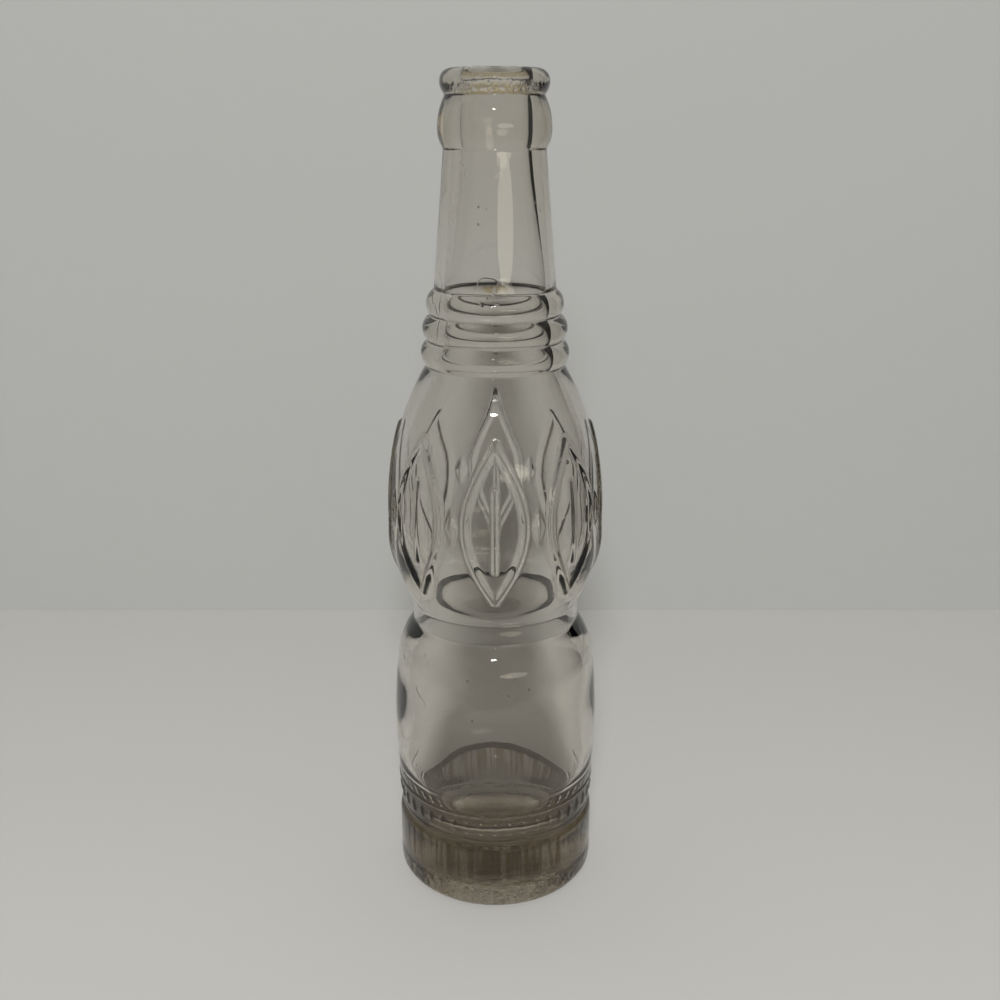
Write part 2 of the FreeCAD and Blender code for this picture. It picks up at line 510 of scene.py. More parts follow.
@dataclass(frozen=True)
class Waves:
    """The faint waves of the glass, with sizes in millimetres.

    Attributes:
        moves: Each wave's name, the points it moves, its depth and the size of its swells.
        calm_foot: Level at which the skin's waves start.
        calm_lip: Level at which all waves end.
        skin_reach: Height over which the skin's waves grow from those levels.
        bore_reach: Height under the bore over which the hollow's waves grow.
        bore_share: How much of them the bore keeps.
        lip_reach: Height over which they end at the lip.
        dome_margin: Height over the underside's dome that still counts as part of it.
        rim_margin: Width at the dome's rim that has no waves.
        rim_reach: Width over which they grow from there.
    """

    moves: tuple[tuple[str, Layer, float, float], ...] = (
        ("long_waves", Layer.SKIN_WAVES, 0.07, 22.0),
        ("blown_waves", Layer.HOLLOW_WAVES, 0.25, 17.0),
        ("blown_ripples", Layer.HOLLOW_WAVES, 0.06, 6.0),
        ("underside_ripples", Layer.UNDERSIDE_WAVES, 0.2, 8.0),
    )
    calm_foot: float = 1.5
    calm_lip: float = 216.0
    skin_reach: float = 6.0
    bore_reach: float = 10.0
    bore_share: float = 0.06
    lip_reach: float = 4.0
    dome_margin: float = 0.1
    rim_margin: float = 1.5
    rim_reach: float = 4.0

    def on_skin(self, level: float) -> float:
        """Share of the skin's waves at a level."""
        from_foot = clamped((level - self.calm_foot) / self.skin_reach)
        return from_foot * clamped((self.calm_lip - level) / self.skin_reach)

    def in_hollow(self, level: float, bore_foot: float) -> float:
        """Share of the hollow's waves at a level."""
        below_bore = clamped((bore_foot - level) / self.bore_reach)
        return max(self.bore_share, below_bore) * clamped((self.calm_lip - level) / self.lip_reach)


@dataclass
class Shell:
    """The closed shell of the bottle's glass: its skin and its hollow.

    Attributes:
        sizes: The bottle's sizes.
        relief: The raised ornament.
        gap: How far apart the outlines' points are.
        waves: The waves of the glass.
        fine_steps: Steps round the bottle where it is ornamented.
        plain_steps: Steps round the rest.
        fine_bands: Heights between which it is ornamented.
    """

    sizes: BottleSizes
    relief: Relief
    gap: Spacing = field(default_factory=Spacing)
    waves: Waves = field(default_factory=Waves)
    fine_steps: int = 352
    plain_steps: int = 176
    fine_bands: tuple[Point, ...] = ((20.5, 30.3), (87.6, 133.8))

    def outline_of_skin(self) -> list[Point]:
        """The outside of the glass, from the middle of the foot up to the flat of the lip.

        Returns:
            Its points, in millimetres.
        """
        s, gap = self.sizes, self.gap
        skin = Outline([(0.0, s.push_up_depth)])
        for ring in range(1, gap.underside_rings + 1):
            radius = s.push_up_radius * ring / gap.underside_rings
            skin.line((radius, s.underside_height(radius)), gap.underside)
        skin.crease(s.soft_bearing)
        skin.line((s.bearing_radius, 0.0), gap.bearing)
        skin.arc_leaving(Way.OUT, (s.heel_radius, s.foot_round_height), gap.foot_round)
        skin.line((s.heel_radius, s.notch_level - s.heel_round_height), gap.heel)
        skin.arc_leaving(Way.UP, (s.notch_radius, s.notch_level), gap.small_round)
        skin.crease(s.soft_notch)
        skin.arc_reaching((s.body_radius, s.body_widest_level), Way.UP, gap.notch)
        skin.arc_leaving(Way.UP, (s.shoulder_radius, s.shoulder_level), gap.body)
        leaving = unit(skin.points[-2], skin.points[-1])
        shoulder = arc(skin.points[-1], leaving, (s.waist_radius, s.waist_level), gap.shoulder)
        skin.points.extend(shoulder[1:])
        skin.crease(s.soft_waist)
        skin.line((s.waist_radius, s.bulb_level), gap.waist)
        skin.crease(s.soft_waist)
        skin.arc_reaching((s.bulb_radius, s.belly_low), Way.UP, gap.bulb)
        skin.line((s.bulb_radius, s.belly_high), gap.bulb)
        skin.arc_leaving(Way.UP, (s.bulb_top_radius, s.rings_level), gap.bulb)
        skin.crease(s.soft_waist)
        crests = s.ring_radii
        grooves = [(low + high) / 2 - s.ring_groove_depth for low, high in zip(crests, crests[1:])]
        tops = grooves + [s.neck_foot_radius]
        for number, crest in enumerate(crests):
            level = s.rings_level + number * s.ring_height
            middle = (crest, level + s.ring_height / 2)
            skin.arc_through(middle, (tops[number], level + s.ring_height), gap.rings)
            skin.crease(s.soft_ring)
        skin.line((s.neck_top_radius, s.collar_level), gap.neck)
        skin.crease(s.soft_waist)
        skin.arc_reaching((s.collar_radius, s.collar_widest_level), Way.UP, gap.collar)
        skin.arc_leaving(Way.UP, (s.bead_foot_radius, s.bead_level), gap.collar)
        skin.crease(s.soft_ring)
        skin.arc_reaching((s.bead_radius, s.bead_widest_level), Way.UP, gap.small_round)
        skin.arc_reaching((s.lip_radius, s.lip_level), Way.IN, gap.small_round)
        skin.line((s.bore_radius + s.mouth_round, s.lip_level), gap.lip)
        return thinned(skin.softened(), self.fine_bands)

    def outline_of_hollow(self) -> list[Point]:
        """The inside of the glass, from the flat of the lip down to the middle of the floor.

        Returns:
            Its points, in millimetres.
        """
        s, gap = self.sizes, self.gap
        hollow = Outline([(s.bore_radius + s.mouth_round, s.lip_level)])
        hollow.arc_leaving(Way.IN, (s.bore_radius, s.lip_level - s.mouth_round), gap.mouth)
        hollow.line((s.bore_radius, s.bore_foot_level), gap.bore)
        hollow.points.extend(smooth_wall(s.wall_stations, gap.wall)[1:])
        hollow.line((s.bowl_radius, s.bowl_level), gap.wall)
        down = (s.bowl_level - s.floor_level) * s.bowl_roundness
        out = (s.bowl_radius - s.floor_radius) * s.bowl_roundness
        poles = [
            (s.bowl_radius, s.bowl_level),
            (s.bowl_radius, s.bowl_level - down),
            (s.floor_radius + out, s.floor_level),
            (s.floor_radius, s.floor_level),
        ]
        hollow.points.extend(bezier(poles, gap.bowl_cuts)[1:])
        hollow.points.extend([(s.floor_middle, s.floor_level), (0.0, s.floor_level)])
        return hollow.points

    def build(self) -> bpy.types.Object:
        """Turn, join, emboss and close the shell.

        Returns:
            The finished mesh object.
        """
        strips = [spun(points, steps, doubled) for points, steps, doubled in self.strips_of_skin()]
        hollow = spun(self.outline_of_hollow(), self.plain_steps, ())
        group = hollow.vertex_groups.new(name=Layer.HOLLOW.value)
        group.add(range(len(hollow.data.vertices)), 1.0, "REPLACE")
        shell = joined([hollow] + strips, "bottle_glass")
        close_seams(shell)
        self.emboss(shell)
        self.wave(shell)
        self.mark_sides(shell)
        return shell

    def strips_of_skin(self) -> list[tuple[list[Point], int, tuple[Point, ...]]]:
        """Cut the skin's outline into strips of fine and plain turning.

        Returns:
            For each strip its points, its count of steps, and the ends that meet a finer strip.
        """
        points = self.outline_of_skin()
        strips = []
        start = 0
        fine = False
        for number in range(1, len(points)):
            inside = any(low <= points[number][1] <= high for low, high in self.fine_bands)
            on_skin = points[number][0] > self.sizes.bulb_top_radius
            last = number == len(points) - 1
            if (inside and on_skin) != fine or last:
                piece = points[start:number + 1]
                ends = ()
                if not fine:
                    ends = ((piece[0],) if start else ()) + (() if last else (piece[-1],))
                strips.append((piece, self.fine_steps if fine else self.plain_steps, ends))
                start = number
                fine = inside and on_skin
        return strips

    def emboss(self, shell: bpy.types.Object) -> None:
        """Raise the ornament on the skin.

        Args:
            shell: The plain closed shell.
        """
        most = max(self.relief.rib_rise, self.relief.stud_rise)
        group = shell.vertex_groups.new(name=Layer.RAISED.value)
        hollow = set(members(shell, Layer.HOLLOW))
        for vertex in shell.data.vertices:
            if vertex.index in hollow:
                continue
            rise = self.relief.rise_at(vertex.co)
            if rise > 0.0:
                group.add([vertex.index], rise / most, "REPLACE")
        push(shell, "emboss", most * MM, Layer.RAISED)

    def wave(self, shell: bpy.types.Object) -> None:
        """Give the skin its faint waves and the blown hollow its stronger ones.

        Args:
            shell: The embossed shell.
        """
        hollow = set(members(shell, Layer.HOLLOW))
        layers = (Layer.SKIN_WAVES, Layer.HOLLOW_WAVES, Layer.UNDERSIDE_WAVES)
        groups = [shell.vertex_groups.new(name=layer.value) for layer in layers]
        skin_group, hollow_group, underside_group = groups
        waves = self.waves
        dome_top = self.sizes.push_up_depth + waves.dome_margin
        dome_edge = self.sizes.push_up_radius - waves.rim_margin
        for vertex in shell.data.vertices:
            level = vertex.co.z / MM
            if vertex.index in hollow:
                share = waves.in_hollow(level, self.sizes.bore_foot_level)
                hollow_group.add([vertex.index], share, "REPLACE")
                continue
            share = waves.on_skin(level)
            if share > 0.0:
                skin_group.add([vertex.index], share, "REPLACE")
            if level < dome_top:
                from_rim = dome_edge - math.hypot(vertex.co.x, vertex.co.y) / MM
                underside_group.add([vertex.index], clamped(from_rim / waves.rim_reach), "REPLACE")
        for name, layer, depth, swell in waves.moves:
            push(shell, name, depth * MM, layer, clouds(name, swell * MM))

    def mark_sides(self, shell: bpy.types.Object) -> None:
        """Write which points are the hollow's as an attribute for the finish.

        Args:
            shell: The shell with its waves.
        """
        inside = shell.data.attributes.new("inside", "FLOAT", "POINT")
        for index in members(shell, Layer.HOLLOW):
            inside.data[index].value = 1.0


def thinned(
    points: list[Point],
    fine_bands: tuple[Point, ...],
    margin: float = 0.8,
    longest: float = 1.9,
    least_bend: float = math.radians(2.6),
) -> list[Point]:
    """Drop points outside the fine bands where the outline is dense and nearly straight.

    Args:
        points: The outline.
        fine_bands: Heights between which every point stays.
        margin: How far beyond the bands they stay too.
        longest: The longest step that dropping a point may leave.
        least_bend: The bend from which a point stays.

    Returns:
        The outline with fewer points.
    """
    kept = [points[0]]
    for number in range(1, len(points) - 1):
        point = points[number]
        inside = any(low - margin <= point[1] <= high + margin for low, high in fine_bands)
        before = unit(kept[-1], point)
        after = unit(point, points[number + 1])
        bend = math.acos(max(-1.0, min(1.0, before[0] * after[0] + before[1] * after[1])))
        near = math.dist(kept[-1], points[number + 1]) < longest
        if inside or bend > least_bend or not near:
            kept.append(point)
    kept.append(points[-1])
    return kept


def bezier(poles: list[Point], cuts: int) -> list[Point]:
    """Points along the curve that four poles give.

    Args:
        poles: The four poles.
        cuts: How many steps to take.

    Returns:
        The points, both ends included.
    """
    points = []
    for number in range(cuts + 1):
        t = number / cuts
        weights = ((1 - t) ** 3, 3 * t * (1 - t) ** 2, 3 * t * t * (1 - t), t ** 3)
        points.append(tuple(sum(w * pole[axis] for w, pole in zip(weights, poles)) for axis in (0, 1)))
    return points


def smooth_wall(stations: tuple[Point, ...], step: float) -> list[Point]:
    """A smooth curve through stations of the inner wall that is upright at both ends.

    Args:
        stations: The places it passes, from the top down.
        step: The longest spacing of its points.

    Returns:
        The points, both ends included.
    """
    times = [0.0]
    for low, high in zip(stations, stations[1:]):
        times.append(times[-1] + math.dist(low, high))
    tracks = []
    for axis, end_slope in ((0, 0.0), (1, -1.0)):
        values = [station[axis] for station in stations]
        tracks.append((values, spline_slopes(times, values, end_slope)))
    points = [stations[0]]
    for number in range(len(stations) - 1):
        span = times[number + 1] - times[number]
        cuts = math.ceil(span / step)
        for cut in range(1, cuts + 1):
            points.append(tuple(hermite(*track, number, span, cut / cuts) for track in tracks))
    return points


def hermite(values: list[float], slopes: list[float], number: int, span: float, t: float) -> float:
    """A value between one of a row of values and the next.

    Args:
        values: The row.
        slopes: The slope at each of them.
        number: Which of them it follows.
        span: How far apart the two are.
        t: The share of the way between them.

    Returns:
        The value.
    """
    square, cube = t * t, t ** 3
    return (
        (2 * cube - 3 * square + 1) * values[number]
        + (cube - 2 * square + t) * (slopes[number] * span)
        + (3 * square - 2 * cube) * values[number + 1]
        + (cube - square) * (slopes[number + 1] * span)
    )


def spline_slopes(
    times: list[float], values: list[float], end_slope: float, rounds: int = 60
) -> list[float]:
    """Slopes of the smooth curve through values, the same given slope at both ends.

    Args:
        times: Where along the curve each value is.
        values: The values.
        end_slope: The slope at the first and the last of them.
        rounds: How often the slopes between are settled.

    Returns:
        One slope for each value.
    """
    slopes = [end_slope] * len(values)
    for _ in range(rounds):
        for k in range(1, len(values) - 1):
            before, after = times[k] - times[k - 1], times[k + 1] - times[k]
            pull = (
                3 * (values[k] - values[k - 1]) / before ** 2
                + 3 * (values[k + 1] - values[k]) / after ** 2
                - slopes[k - 1] / before
                - slopes[k + 1] / after
            )
            slopes[k] = pull / (2 / before + 2 / after)
    return slopes


def spun(points: list[Point], steps: int, doubled: tuple[Point, ...]) -> bpy.types.Object:
    """Draw a chain of edges and spin it once round the axis.

    Args:
        points: The chain, in millimetres.
        steps: How many steps the turn takes.
        doubled: End points of the chain whose rings get twice the points.

    Returns:
        The turned strip as an object at the origin.
    """
    places = [Vector((radius * MM, 0.0, level * MM)) for radius, level in points]
    deselect_all()
    bpy.ops.mesh.primitive_plane_add(size=MM, location=places[0])
    strip = bpy.context.object
    bpy.ops.object.transform_apply(location=True, rotation=False, scale=False)
    bpy.ops.object.mode_set(mode="EDIT")
    bpy.ops.mesh.select_mode(type="VERT")
    bpy.ops.mesh.select_all(action="SELECT")
    bpy.ops.mesh.merge(type="CENTER")
    for start, end in zip(places, places[1:]):
        bpy.ops.mesh.extrude_region_move(TRANSFORM_OT_translate={"value": end - start})
    bpy.ops.mesh.select_all(action="SELECT")
    bpy.ops.mesh.spin(steps=steps, angle=2 * math.pi, center=(0, 0, 0), axis=(0, 0, 1))
    bpy.ops.mesh.select_all(action="SELECT")
    bpy.ops.mesh.remove_doubles(threshold=SAME_POINT)
    for radius, level in doubled:
        select_ring(strip, radius * MM, level * MM)
        bpy.ops.mesh.subdivide(number_cuts=1)
    bpy.ops.object.mode_set(mode="OBJECT")
    return strip


def select_ring(strip: bpy.types.Object, radius: float, level: float) -> None:
    """Select one ring of a turned strip and stay in edit mode.

    Args:
        strip: The strip that is being edited.
        radius: The ring's radius, in metres.
        level: The ring's height, in metres.
    """
    bpy.ops.mesh.select_all(action="DESELECT")
    bpy.ops.object.mode_set(mode="OBJECT")
    for vertex in strip.data.vertices:
        near = abs(vertex.co.z - level) < SAME_RING
        vertex.select = near and abs(math.hypot(vertex.co.x, vertex.co.y) - radius) < SAME_RING
    bpy.ops.object.mode_set(mode="EDIT")


def joined(parts: list[bpy.types.Object], name: str) -> bpy.types.Object:
    """Join objects into the first of them.

    Args:
        parts: The objects.
        name: The name for what they become.

    Returns:
        The joined object.
    """
    make_active(parts[0])
    for part in parts:
        part.select_set(True)
    bpy.ops.object.join()
    whole = bpy.context.object
    whole.name = name
    whole.data.name = name
    return whole


def close_seams(shell: bpy.types.Object) -> None:
    """Merge the strips' common rings and turn every face outwards.

    Args:
        shell: The joined strips.
    """
    make_active(shell)
    bpy.ops.object.mode_set(mode="EDIT")
    bpy.ops.mesh.select_all(action="SELECT")
    bpy.ops.mesh.remove_doubles(threshold=SAME_SEAM)
    bpy.ops.mesh.normals_make_consistent(inside=False)
    bpy.ops.object.mode_set(mode="OBJECT")
    bpy.ops.object.shade_smooth()


def members(thing: bpy.types.Object, layer: Layer, least: float = 0.5) -> list[int]:
    """Indices of the points that a layer holds.

    Args:
        thing: The object.
        layer: The layer.
        least: The weight that a point of it has more than.

    Returns:
        The indices, lowest first.
    """
    place = thing.vertex_groups[layer.value].index
    found = []
    for vertex in thing.data.vertices:
        if any(entry.group == place and entry.weight > least for entry in vertex.groups):
            found.append(vertex.index)
    return found


def clouds(name: str, swell: float) -> bpy.types.Texture:
    """A soft cloud texture for waves in the glass.

    Args:
        name: Its name.
        swell: The size of its clouds, in metres.

    Returns:
        The texture.
    """
    texture = bpy.data.textures.new(name, "CLOUDS")
    texture.noise_scale = swell
    texture.noise_depth = 0
    return texture


def push(
    thing: bpy.types.Object,
    name: str,
    strength: float,
    layer: Layer,
    texture: bpy.types.Texture | None = None,
) -> None:
    """Move the points of a layer along their normals and apply the move.

    Args:
        thing: The object.
        name: The modifier's name.
        strength: The move at full weight, in metres.
        layer: The points that it moves, and how much of it each takes.
        texture: Clouds that vary it about nought, if it isn't even.
    """
    make_active(thing)
    modifier = thing.modifiers.new(name, "DISPLACE")
    modifier.direction = "NORMAL"
    modifier.strength = strength
    modifier.vertex_group = layer.value
    modifier.mid_level = 0.0
    if texture is not None:
        modifier.texture = texture
        modifier.texture_coords = "LOCAL"
        modifier.mid_level = 0.5
    bpy.ops.object.modifier_apply(modifier=name)


@dataclass(frozen=True)
class Seeds:
    """The seeds of an old bottle: tiny bubbles closed in the wall.

    Attributes:
        placed: Seeds given one by one: degrees from the front, then level, radius and half width in mm.
        scattered: How many more there are.
        spots: Levels and radii in mm that those lie near.
        spread: How far above and below a spot they may lie, in mm.
        half_widths: The least and the most half width of those, in mm.
        draw: How much higher than wide each seed is.
        order: What the draws of chance start from.
    """

    placed: tuple[tuple[float, float, float, float], ...] = (
        (-16.0, 68.4, 25.6, 0.34),
        (7.6, 64.9, 25.9, 0.30),
        (19.7, 65.8, 25.7, 0.26),
        (-13.0, 57.7, 26.4, 0.34),
        (47.0, 124.5, 23.4, 0.45),
    )
    scattered: int = 16
    spots: tuple[Point, ...] = ((40.0, 26.2), (52.0, 26.2), (60.0, 26.0), (172.0, 14.2), (184.0, 12.5))
    spread: float = 3.0
    half_widths: Point = (0.12, 0.26)
    draw: float = 1.35
    order: int = 11

    def build(self) -> bpy.types.Object:
        """Make the seeds as hollow little spheres.

        Returns:
            One object that holds them all.
        """
        chance = random.Random(self.order)
        seeds = [self.seed(*spot) for spot in self.placed]
        for _ in range(self.scattered):
            angle = chance.uniform(-180.0, 180.0)
            level, radius = chance.choice(self.spots)
            level += chance.uniform(-self.spread, self.spread)
            seeds.append(self.seed(angle, level, radius, chance.uniform(*self.half_widths)))
        cluster = joined(seeds, "seeds")
        bpy.ops.object.mode_set(mode="EDIT")
        bpy.ops.mesh.select_all(action="SELECT")
        bpy.ops.mesh.normals_make_consistent(inside=True)
        bpy.ops.object.mode_set(mode="OBJECT")
        bpy.ops.object.shade_smooth()
        return cluster

    def seed(self, angle: float, level: float, radius: float, half_width: float) -> bpy.types.Object:
        """One seed, drawn out a little along the bottle's height.

        Args:
            angle: Degrees round from the front.
            level: Height in millimetres.
            radius: Distance from the axis in millimetres.
            half_width: Half its width in millimetres.

        Returns:
            The seed.
        """
        turn = math.radians(angle)
        place = Vector((radius * math.sin(turn), -radius * math.cos(turn), level)) * MM
        deselect_all()
        bpy.ops.mesh.primitive_ico_sphere_add(subdivisions=2, radius=half_width * MM, location=place)
        bubble = bpy.context.object
        bubble.scale = (1.0, 1.0, self.draw)
        bpy.ops.object.transform_apply(location=True, rotation=False, scale=True)
        return bubble


@dataclass
class Net:
    """A short way to add and join shader nodes in one tree."""

    tree: bpy.types.NodeTree

    def add(self, kind: str, **settings: object) -> bpy.types.Node:
        """Add a node and set its properties.

        Args:
            kind: Blender's name for its kind.
            settings: Its properties.

        Returns:
            The node.
        """
        node = self.tree.nodes.new(kind)
        for name, value in settings.items():
            setattr(node, name, value)
        return node

    def link(self, source: object, socket: bpy.types.NodeSocket) -> None:
        """Feed a socket from another socket, or set it to a number.

        Args:
            source: The other socket or the number.
            socket: The socket that is fed.
        """
        if isinstance(source, (int, float)):
            socket.default_value = source
        else:
            self.tree.links.new(source, socket)

    def math(self, operation: str, *values: object) -> bpy.types.NodeSocket:
        """Values joined one after another by one operation.

        Args:
            operation: What is done to them.
            values: Sockets or numbers.

        Returns:
            The result's socket.
        """
        result = values[0]
        for value in values[1:]:
            node = self.add("ShaderNodeMath", operation=operation)
            self.link(result, node.inputs[0])
            self.link(value, node.inputs[1])
            result = node.outputs[0]
        return result

    def times(self, *values: object) -> bpy.types.NodeSocket:
        """The values multiplied."""
        return self.math("MULTIPLY", *values)

    def plus(self, *values: object) -> bpy.types.NodeSocket:
        """The values added up."""
        return self.math("ADD", *values)

    def minus(self, first: object, second: object) -> bpy.types.NodeSocket:
        """The first value less the second."""
        return self.math("SUBTRACT", first, second)

    def apart(self, first: object, second: object) -> bpy.types.NodeSocket:
        """How far two values are from each other."""
        return self.math("ABSOLUTE", self.minus(first, second), 0.0)

    def fade(self, value: object, ends: Point) -> bpy.types.NodeSocket:
        """A soft step from 0 at one value to 1 at another.

        Args:
            value: The socket that is stepped.
            ends: Where the result is 0, and where it is 1.

        Returns:
            The result's socket.
        """
        rising = ends[0] < ends[1]
        node = self.add("ShaderNodeMapRange", interpolation_type="SMOOTHSTEP")
        self.link(value, node.inputs["Value"])
        self.link(min(ends), node.inputs["From Min"])
        self.link(max(ends), node.inputs["From Max"])
        self.link(0.0 if rising else 1.0, node.inputs["To Min"])
        self.link(1.0 if rising else 0.0, node.inputs["To Max"])
        return node.outputs["Result"]

    def noise(self, place: bpy.types.NodeSocket, grain: Point) -> bpy.types.NodeSocket:
        """Soft noise over the surface.

        Args:
            place: The coordinates it reads.
            grain: How fine it is, per metre, and how many finer layers it has.

        Returns:
            The noise's value.
        """
        node = self.add("ShaderNodeTexNoise")
        self.link(place, node.inputs["Vector"])
        self.link(grain[0], node.inputs["Scale"])
        self.link(grain[1], node.inputs["Detail"])
        return node.outputs["Fac"]

    def colour(self, value: Triple) -> bpy.types.NodeSocket:
        """A plain colour's socket.

        Args:
            value: The colour.

        Returns:
            The socket.
        """
        node = self.add("ShaderNodeRGB")
        node.outputs[0].default_value = (*value, 1.0)
        return node.outputs[0]

    def mix(self, share: object, first: object, second: object) -> bpy.types.NodeSocket:
        """A colour between two.

        Args:
            share: How much of the second colour there is.
            first: The first colour's socket.
            second: The second colour's socket.

        Returns:
            The mixed colour.
        """
        node = self.add("ShaderNodeMix", data_type="RGBA")
        self.link(share, node.inputs[0])
        self.link(first, node.inputs[6])
        self.link(second, node.inputs[7])
        return node.outputs[2]

    def either(self, share: object, first: bpy.types.Node, second: bpy.types.Node) -> bpy.types.NodeSocket:
        """A shader between two.

        Args:
            share: How much of the second shader there is.
            first: The first shader's node.
            second: The second shader's node.

        Returns:
            The mixed shader.
        """
        node = self.add("ShaderNodeMixShader")
        self.link(share, node.inputs[0])
        self.link(first.outputs[0], node.inputs[1])
        self.link(second.outputs[0], node.inputs[2])
        return node.outputs[0]


@dataclass(frozen=True)
class Grains:
    """The noises of the finish: how fine each is, per metre, and how many finer layers it has."""

    specks: Point = (1200.0, 3.0)
    deposit: Point = (900.0, 4.0)
    runs: Point = (760.0, 5.0)
    crackle: Point = (520.0, 2.0)
    scuffs: Point = (260.0, 4.0)
    dimples: Point = (160.0, 2.0)
    contours: Point = (55.0, 3.0)
    patches: Point = (30.0, 1.0)


@dataclass(frozen=True)
class Fades:
    """The soft steps of the finish: where each mask is 0, and where it is 1.

    Levels and distances are in metres, and the last six are values of a noise.
    """

    stain: Point = (0.0022, 0.0010)
    painted_glint_height: Point = (0.0014, 0.0005)
    painted_glint_width: Point = (0.0042, 0.0018)
    painted_glint_front: Point = (0.0, -0.004)
    deposit: Point = (0.0030, 0.0008)
    heel_top: Point = (0.0198, 0.0185)
    heel_foot: Point = (0.0070, 0.0120)
    underside: Point = (0.0075, 0.0060)
    specks: Point = (0.36, 0.50)
    grains: Point = (0.36, 0.58)
    runs: Point = (0.43, 0.58)
    thread: Point = (0.007, 0.0)
    patches: Point = (0.53, 0.62)
    scuffs: Point = (0.60, 0.78)


@dataclass(frozen=True)
class GlassFinish:
    """Old clear glass with a faint warm grey tint, a stained mouth, a painted golden glint at the front of
    the neck's foot, and a streaked heel.

    Attributes:
        tint: Colour that the surface lets through.
        film: Colour of the thin dry film inside the hollow.
        stain: Colour of the stain round the mouth, and of the painted golden glint at the front of the
            neck's foot.
        deposit: Colour of the dried deposit on the floor of the hollow.
        streaks: Colour of the streaks round the heel.
        shade: Colour of the light that reaches the floor through the glass.
        depth_tint: Colour that the thick of the glass takes on.
        depth_density: How strongly it does so, per metre.
        refraction: How strongly the glass bends light.
        levels: Heights of the stain, the foot of the neck and the deposit, in metres.
        grains: The noises.
        fades: The masks' soft steps.
        run_length: How much the heel's streaks are drawn out, as a scale along the height.
        rough: Roughness of the glass, and what scuffs, the stain with the painted glint, and deposit add.
        pits: Heights of the stain's specks, the heel's streaks, the crackle, the wrinkles and dimples.
        relief: Height in metres that the pits' full strength stands for, and its share.
    """

    tint: Triple = (0.955, 0.953, 0.944)
    film: Triple = (0.95, 0.94, 0.92)
    stain: Triple = (0.66, 0.50, 0.22)
    deposit: Triple = (0.80, 0.70, 0.54)
    streaks: Triple = (0.28, 0.19, 0.09)
    shade: Triple = (0.62, 0.60, 0.57)
    depth_tint: Triple = (0.48, 0.40, 0.24)
    depth_density: float = 45.0
    refraction: float = 1.51
    levels: Triple = (0.2127, 0.1670, 0.0115)
    grains: Grains = field(default_factory=Grains)
    fades: Fades = field(default_factory=Fades)
    run_length: float = 0.05
    rough: tuple[float, float, float, float] = (0.012, 0.05, 0.18, 0.45)
    pits: tuple[float, float, float, float, float] = (4.0, 2.5, 3.5, 0.22, 0.12)
    relief: Point = (0.0004, 0.35)

    def inputs(self) -> dict[str, object]:
        """The named values that the surface group is given.

        Returns:
            Each input's name with its value.
        """
        names = ("Tint", "Film", "Stain", "Deposit", "Streaks")
        values = {name: (*getattr(self, name.lower()), 1.0) for name in names}
        return values | dict(zip(("Stain level", "Neck foot level", "Deposit level"), self.levels))

    def surface_group(self) -> bpy.types.NodeTree:
        """The group that gives the glass its colour, roughness and relief over the surface.

        Returns:
            The node group.
        """
        group = bpy.data.node_groups.new("Old glass surface", "ShaderNodeTree")
        for name, value in self.inputs().items():
            kind = "NodeSocketFloat" if isinstance(value, float) else "NodeSocketColor"
            group.interface.new_socket(name, in_out="INPUT", socket_type=kind)
        for name, kind in (("Color", "Color"), ("Roughness", "Float"), ("Height", "Float")):
            group.interface.new_socket(name, in_out="OUTPUT", socket_type="NodeSocket" + kind)
        net, grains, fades = Net(group), self.grains, self.fades
        given = net.add("NodeGroupInput").outputs
        out = net.add("NodeGroupOutput").inputs
        inside = net.add("ShaderNodeAttribute", attribute_name="inside").outputs["Fac"]
        outside = net.minus(1.0, inside)
        place = net.add("ShaderNodeTexCoord").outputs["Object"]
        axes = net.add("ShaderNodeSeparateXYZ")
        net.link(place, axes.inputs[0])
        x, y, z = axes.outputs
        drawn = net.add("ShaderNodeVectorMath", operation="MULTIPLY")
        drawn.inputs[1].default_value = (1.0, 1.0, self.run_length)
        net.link(place, drawn.inputs[0])

        specks = net.noise(place, grains.specks)
        band = net.times(net.fade(net.apart(z, given["Stain level"]), fades.stain), inside)
        # Painted golden glint: a lump of the stain colour at the front of the neck's foot only, where the
        # inner crease shows golden glints.
        painted_glint = net.times(
            net.fade(net.apart(z, given["Neck foot level"]), fades.painted_glint_height),
            net.fade(net.apart(x, 0.0), fades.painted_glint_width),
            net.fade(y, fades.painted_glint_front),
            inside,
        )
        stain_and_painted_glint = net.times(net.math("MAXIMUM", band, painted_glint), net.fade(specks, fades.specks))
        gritty = net.noise(place, grains.deposit)
        deposit = net.times(net.fade(net.minus(z, given["Deposit level"]), fades.deposit), inside)
        runs = net.noise(drawn.outputs[0], grains.runs)
        heel = net.times(net.fade(z, fades.heel_top), net.fade(z, fades.heel_foot), outside)
        crackle = net.noise(place, grains.crackle)
        under = net.times(net.fade(z, fades.underside), outside)
        thread = net.fade(net.apart(net.noise(place, grains.contours), 0.5), fades.thread)
        patches = net.fade(net.noise(place, grains.patches), fades.patches)
        scuffs = net.fade(net.noise(place, grains.scuffs), fades.scuffs)
        dimples = net.noise(place, grains.dimples)

        colour = net.mix(inside, given["Tint"], given["Film"])
